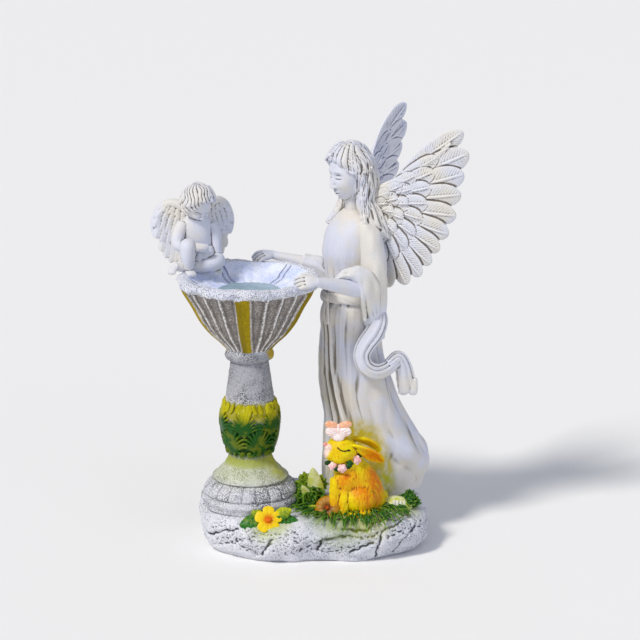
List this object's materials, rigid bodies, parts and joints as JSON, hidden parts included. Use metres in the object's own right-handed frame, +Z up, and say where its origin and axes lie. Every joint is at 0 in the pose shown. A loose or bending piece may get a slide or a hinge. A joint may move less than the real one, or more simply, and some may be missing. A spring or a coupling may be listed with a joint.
{
  "type": "solar fairy garden statue",
  "caption": "Cast resin garden statue: a winged lady leans on a fluted birdbath, a cherub on its rim, a rabbit at her feet, a solar lamp lens in the bowl.",
  "frame": {"origin": "centre of the rock base's flat underside", "axes": "+Z up; +X towards the lady's end of the rock, -X towards the birdbath's end; the pictured front faces -Y"},
  "size_m": [0.2348, 0.1556, 0.3152],
  "materials": {
    "cast_resin": "matt painted cast polyresin, white with grey wash",
    "lens": "pale teal translucent plastic, softly glossy"
  },
  "bodies": {
    "root": {"statue": "cast_resin", "lamp_lens": "lens"}
  },
  "joints": []
}
